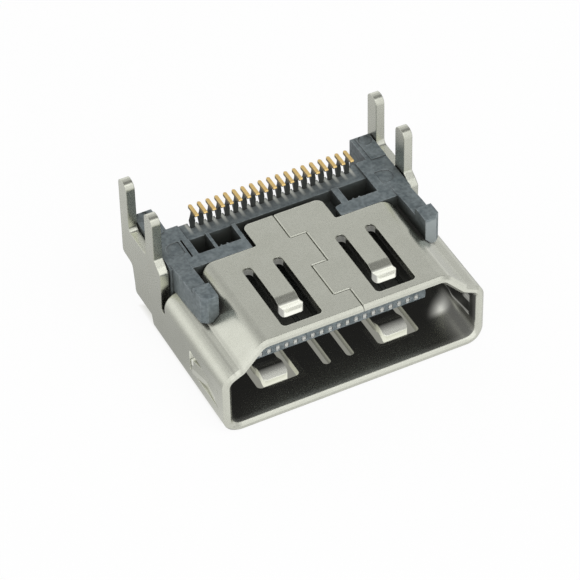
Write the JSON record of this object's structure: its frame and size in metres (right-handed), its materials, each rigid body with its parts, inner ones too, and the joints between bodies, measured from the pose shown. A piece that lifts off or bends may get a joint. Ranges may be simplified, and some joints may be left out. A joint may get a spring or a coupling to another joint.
{
  "type": "audio video board socket",
  "caption": "Right-angle multimedia socket for a circuit board: folded metal shell with springs and legs, moulded tongue and a row of solder feet.",
  "frame": {"origin": "middle of the part's footprint, on the surface that its wide face lies on", "axes": "+X along the mouth, +Y from the mouth to the rear, +Z to the board side, where the legs point"},
  "size_m": [0.0152, 0.012, 0.0083],
  "materials": {
    "shell_metal": "satin nickel plate",
    "moulded_plastic": "fine moulded grain",
    "contact_metal": "satin gold plate"
  },
  "bodies": {
    "root": {"shell": "shell_metal", "housing": "moulded_plastic", "contact_01": "contact_metal", "contact_02": "contact_metal", "contact_03": "contact_metal", "contact_04": "contact_metal", "contact_05": "contact_metal", "contact_06": "contact_metal", "contact_07": "contact_metal", "contact_08": "contact_metal", "contact_09": "contact_metal", "contact_10": "contact_metal", "contact_11": "contact_metal", "contact_12": "contact_metal", "contact_13": "contact_metal", "contact_14": "contact_metal", "contact_15": "contact_metal", "contact_16": "contact_metal", "contact_17": "contact_metal", "contact_18": "contact_metal", "contact_19": "contact_metal"}
  },
  "joints": []
}
